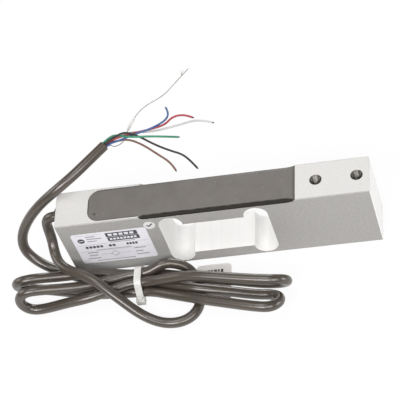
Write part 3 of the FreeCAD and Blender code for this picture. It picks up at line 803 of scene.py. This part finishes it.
def aluminiumGrainAndPaintedLight(look):
    material = grainFinish(look)
    nodes, links, shader, tone = baseTone(material)
    place = objectPlace(nodes)
    brushed = nodes.new("ShaderNodeMapping")
    brushed.inputs["Scale"].default_value = look["brushed"]
    links.new(place, brushed.inputs["Vector"])
    split = nodes.new("ShaderNodeSeparateXYZ")
    links.new(place, split.inputs["Vector"])
    along, away, rim = (nodes.new("ShaderNodeMath") for k in range(3))
    along.operation, away.operation, rim.operation = "ABSOLUTE", "ABSOLUTE", "ADD"
    links.new(split.outputs["X"], along.inputs[0])
    links.new(split.outputs["Y"], away.inputs[0])
    links.new(away.outputs["Value"], rim.inputs[0])
    links.new(split.outputs["Z"], rim.inputs[1])
    reach = {"end": along.outputs["Value"], "up": split.outputs["Z"], "edge": rim.outputs["Value"],
             "side": away.outputs["Value"]}
    # each face mask mixes in its painted light or painted shade tone
    for face in look["faces"]:
        side = nodes.new("ShaderNodeMath")
        side.operation = "GREATER_THAN"
        side.inputs[1].default_value = face["from"] * milli
        links.new(reach[face["where"]], side.inputs[0])
        grain = addNoise(nodes, links, brushed.outputs["Vector"], face["grain"], noiseStyle["fineDetail"])
        tone = mixColours(nodes, links, side.outputs["Value"], tone, toneRamp(nodes, links, grain, face))
    links.new(tone, shader.inputs["Base Color"])
    return material


aluminium = aluminiumGrainAndPaintedLight(aluminiumLook)


def threadRings(x, mouth, way):
    rings, paintedShades = [], []
    pitch, sides = thread["pitch"], thread["sides"]
    for k in range(sides * thread["turns"] + 1):
        turn = 2 * math.pi * k / sides
        depth = thread["start"] + pitch / 2 + pitch * k / sides
        rings.append([(x + thread[part] * math.cos(turn), thread[part] * math.sin(turn),
                       mouth + way * (depth + along * pitch)) for along, part in thread["section"]])
        # painted shade: the roots take the mark, the crests don't
        paintedShades += [1.0 if part == "root" else 0.0 for along, part in thread["section"]]
    return rings, paintedShades


def mouthRings(x, mouth, way):  # the thread runs out over the hole's broken edge
    rings, paintedShades = [], []
    turns = [2 * math.pi * k / thread["sides"] for k in range(thread["sides"])]
    for radius, depth in thread["mouth"]:
        z = mouth + way * (depth - thread["mouthRaise"])
        rings.append([(x + radius * math.cos(turn), radius * math.sin(turn), z) for turn in turns])
        ahead = 2 * math.pi * depth / thread["pitch"]
        # painted shade that winds round the mouth with the thread
        paintedShades += [0.5 + 0.5 * math.sin(turn - ahead) for turn in turns]
    return rings, paintedShades


def makeThreads():
    shape = bmesh.new()
    paintedShades = []
    for place in thread["places"]:
        for makeRings, closedRing in ((threadRings, False), (mouthRings, True)):
            rings, ringShades = makeRings(*place)
            joinRings(shape, rings, closedRing)
            paintedShades += ringShades
    mesh = meshFrom("tappedThreads", shape, sharpAngle=20)
    rootShades = mesh.attributes.new("paintedRootShade", "FLOAT", "POINT")
    for item, tone in zip(rootShades.data, paintedShades):
        item.value = tone
    finish = grainFinish(threadLook)
    # paint the shade into the thread roots
    paintShadeByMark(finish, "paintedRootShade", threadLook["root"])
    addPiece("tappedThreads", mesh, finish)


makeThreads()
print("threads cut")

labelPrint = {  # bars as left, low, right, high from the label's lower left corner, dashes with their count
    "blocks": [(16.8, 20.05, 32.3, 23.3), (17.0, 16.5, 32.5, 19.75)],
    "dashes": [(4.6, 12.2, 13.6, 13.9, 5), (16.1, 12.2, 19.8, 13.9, 2), (24.8, 12.2, 30.6, 13.9, 4)],
    "cutOut": [(18.0, 20.8, 31.2, 22.5, 5), (18.0, 17.4, 31.6, 18.9, 8)],
    "fine": [
        (1.9, 23.0, 14.8, 23.15), (6.8, 21.3, 11.4, 21.9), (6.8, 19.5, 14.2, 20.1), (6.8, 17.7, 11.5, 18.3),
        (17.2, 15.4, 29.7, 15.8), (1.5, 15.0, 16.4, 15.15), (30.4, 14.5, 35.7, 14.65),
        (9.3, 10.2, 26.4, 10.6), (27.4, 8.5, 33.1, 9.1), (0.9, 9.65, 36.2, 9.78), (4.2, 8.3, 9.5, 8.9),
        (4.5, 5.9, 9.0, 6.5), (2.9, 3.4, 9.5, 4.0), (27.4, 5.7, 31.1, 6.3), (27.4, 3.3, 33.6, 3.9),
        (7.2, 1.3, 26.2, 1.8), (10.4, 6.1, 15.1, 6.25), (19.8, 6.1, 25.4, 6.25)],
    "bridge": {"middle": (17.45, 6.2), "half": (2.3, 2.15), "line": 0.25, "mitre": 1.4, "sides": 4},
    "spot": {"middle": (4.0, 18.8), "radius": 1.75, "hole": 0.05, "sides": 28,
             "bar": (2.9, 18.5, 5.1, 19.1)},
    "dashShare": 0.74, "raise": 0.02, "cutOutRaise": 0.012, "inkThick": 0.015,
}
stickerTick = [(-1.6, 0.1), (-1.1, 0.6), (-0.35, -0.2), (1.35, 1.5), (1.85, 1.0), (-0.35, -1.2)]


def frontPoint(corner, u, v, out):
    return (corner.x / milli + u, corner.y / milli - out, corner.z / milli + v)


def addPatch(shape, corner, outline, out):
    points = [Vector(frontPoint(corner, u, v, out)) * milli for u, v in outline]
    face = shape.faces.new([shape.verts.new(point) for point in points])
    grown = bmesh.ops.extrude_face_region(shape, geom=[face])["geom"]
    moved = [part for part in grown if isinstance(part, bmesh.types.BMVert)]
    bmesh.ops.translate(shape, vec=(0, labelPrint["inkThick"] * milli, 0), verts=moved)


def barOutline(bar):
    left, low, right, high = bar
    return [(left, low), (right, low), (right, high), (left, high)]


def ringStrip(shape, corner, middle, outer, inner, steps, out):
    for k in range(steps):
        quad = []
        for radius, turn in ((outer, k), (outer, k + 1), (inner, k + 1), (inner, k)):
            angle = 2 * math.pi * turn / steps
            rx, ry = radius if isinstance(radius, tuple) else (radius, radius)
            quad.append((middle[0] + rx * math.cos(angle), middle[1] + ry * math.sin(angle)))
        addPatch(shape, corner, quad, out)


def dashBars(row):
    left, low, right, high, count = row
    step, share = (right - left) / count, labelPrint["dashShare"]
    return [(left + step * k, low, left + step * (k + share), high) for k in range(count)]


def printPiece(name, corner, bars, film, out, extra=None):
    shape = bmesh.new()
    for bar in bars:
        addPatch(shape, corner, barOutline(bar), out)
    if extra:
        extra(shape)
    addPiece(name, meshFrom(name, shape), films[film])


def makeLabelPrint():
    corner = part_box("rating_label")[0]
    bridge, spot, out = labelPrint["bridge"], labelPrint["spot"], labelPrint["raise"]
    inner = tuple(half - bridge["mitre"] * bridge["line"] for half in bridge["half"])
    bold = labelPrint["blocks"] + [bar for row in labelPrint["dashes"] for bar in dashBars(row)]
    pale = [bar for row in labelPrint["cutOut"] for bar in dashBars(row)] + [spot["bar"]]

    def addSpot(shape):
        ringStrip(shape, corner, spot["middle"], spot["radius"], spot["hole"], spot["sides"], out)

    def addBridge(shape):
        ringStrip(shape, corner, bridge["middle"], bridge["half"], inner, bridge["sides"], out)

    printPiece("labelInk", corner, bold, "ink", out, addSpot)
    printPiece("labelRules", corner, labelPrint["fine"], "paleInk", out, addBridge)
    printPiece("labelCutOut", corner, pale, "label", out + labelPrint["cutOutRaise"])


def makeStickerPrint():
    low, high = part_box("inspection_sticker")
    corner = Vector(((low.x + high.x) / 2, low.y, (low.z + high.z) / 2))
    shape = bmesh.new()
    addPatch(shape, corner, stickerTick, labelPrint["raise"])
    addPiece("stickerTick", meshFrom("stickerTick", shape), films["ink"])


makeLabelPrint()
makeStickerPrint()
print("label printed")

innerLooks = {
    "gaugeFilm": {"dark": (0.42, 0.2, 0.04), "light": (0.58, 0.32, 0.08)},
    "circuitBoard": {"dark": (0.02, 0.11, 0.035), "light": (0.04, 0.17, 0.06)},
    "resistorBody": {"dark": (0.015, 0.015, 0.016), "light": (0.035, 0.035, 0.036)},
}
innerSkin = {
    "cloud": 300, "grain": 1500, "roughness": (0.3, 0.5), "relief": 0.2, "reliefDepth": 0.03, "sockets": {},
}
nodeFinishes = {
    "load_beam": aluminium, "rating_label": films["label"], "inspection_sticker": films["sticker"],
}


def dressNodes():
    made = {name: grainFinish({"name": name, **innerSkin, **look}) for name, look in innerLooks.items()}
    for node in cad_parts:
        if node.startswith("gauge_f"):
            nodeFinishes[node] = made["gaugeFilm"]
    nodeFinishes["terminal_board"] = made["circuitBoard"]
    nodeFinishes["span_resistor"] = nodeFinishes["zero_resistor"] = made["resistorBody"]
    for node, finish in nodeFinishes.items():
        obj = bpy.data.objects[node]
        obj.data.materials.clear()
        obj.data.materials.append(finish)


dressNodes()
print("nodes dressed")

floor = {  # in metres, a little below the part
    "half": 6.0, "drop": 0.0002,
    "tone": (0.65, 0.65, 0.65), "roughness": 0.9, "glow": 0.88, "strength": 1.04,
}
studioLights = [  # in metres and watts
    {"name": "topSoftbox", "place": (-0.2, 0.03, 1.03), "size": (0.6, 0.3), "power": 2.2},
    {"name": "leftSoftbox", "place": (-0.95, 0.25, 0.55), "size": (0.6, 0.5), "power": 2.7},
    {"name": "backSoftbox", "place": (0.15, 1.25, 0.35), "size": (0.8, 0.4), "power": 7.0},
    {"name": "keySoftbox", "place": (-0.37, -0.95, 0.93), "size": (0.6, 0.4), "power": 9.4},
    {"name": "fillSoftbox", "place": (0.5, -0.9, 1.0), "size": (0.9, 0.7), "power": 10.0},
    {"name": "rightSoftbox", "place": (1.0, 0.0, 0.22), "size": (0.5, 0.4), "power": 3.2},
]
ambient = {"tone": (1.0, 1.0, 1.0), "strength": 0.2}


def whiteToViewer(nodes, links):
    rays = nodes.new("ShaderNodeLightPath")
    total = rays.outputs["Is Camera Ray"]
    for kind in ("Is Glossy Ray", "Is Transmission Ray"):
        add = nodes.new("ShaderNodeMath")
        add.operation = "ADD"
        add.use_clamp = True
        links.new(total, add.inputs[0])
        links.new(rays.outputs[kind], add.inputs[1])
        total = add.outputs["Value"]
    return total


def makeFloor():
    shape = bmesh.new()
    bmesh.ops.create_grid(shape, x_segments=1, y_segments=1, size=floor["half"])
    mesh = bpy.data.meshes.new("studioFloor")
    shape.to_mesh(mesh)
    shape.free()
    obj = bpy.data.objects.new("studioFloor", mesh)
    obj.location.z = -floor["drop"]
    sceneRoot.objects.link(obj)
    material, nodes, links, shader = newMaterial("floorWhite")
    shader.inputs["Base Color"].default_value = (*floor["tone"], 1)
    shader.inputs["Roughness"].default_value = floor["roughness"]
    glow = nodes.new("ShaderNodeEmission")
    glow.inputs["Strength"].default_value = floor["strength"]
    share = nodes.new("ShaderNodeMath")
    share.operation = "MULTIPLY"
    share.inputs[1].default_value = floor["glow"]
    links.new(whiteToViewer(nodes, links), share.inputs[0])
    mixed = nodes.new("ShaderNodeMixShader")
    links.new(share.outputs["Value"], mixed.inputs["Fac"])
    links.new(shader.outputs["BSDF"], mixed.inputs[1])
    links.new(glow.outputs["Emission"], mixed.inputs[2])
    links.new(mixed.outputs["Shader"], nodes["Material Output"].inputs["Surface"])
    mesh.materials.append(material)


def makeLights():
    for light in studioLights:
        data = bpy.data.lights.new(light["name"], "AREA")
        data.shape = "RECTANGLE"
        data.size, data.size_y = light["size"]
        data.energy = light["power"]
        lamp = bpy.data.objects.new(light["name"], data)
        lamp.location = light["place"]
        lamp.rotation_euler = (-Vector(light["place"])).to_track_quat("-Z", "Y").to_euler()
        sceneRoot.objects.link(lamp)


def makeWorld():
    world = bpy.data.worlds.new("studioWorld")
    bpy.context.scene.world = world
    world.use_nodes = True
    sky = world.node_tree.nodes["Background"]
    sky.inputs["Color"].default_value = (*ambient["tone"], 1)
    sky.inputs["Strength"].default_value = ambient["strength"]


makeFloor()
makeLights()
makeWorld()
bpy.context.scene.view_settings.view_transform = "Standard"
print("studio lit")
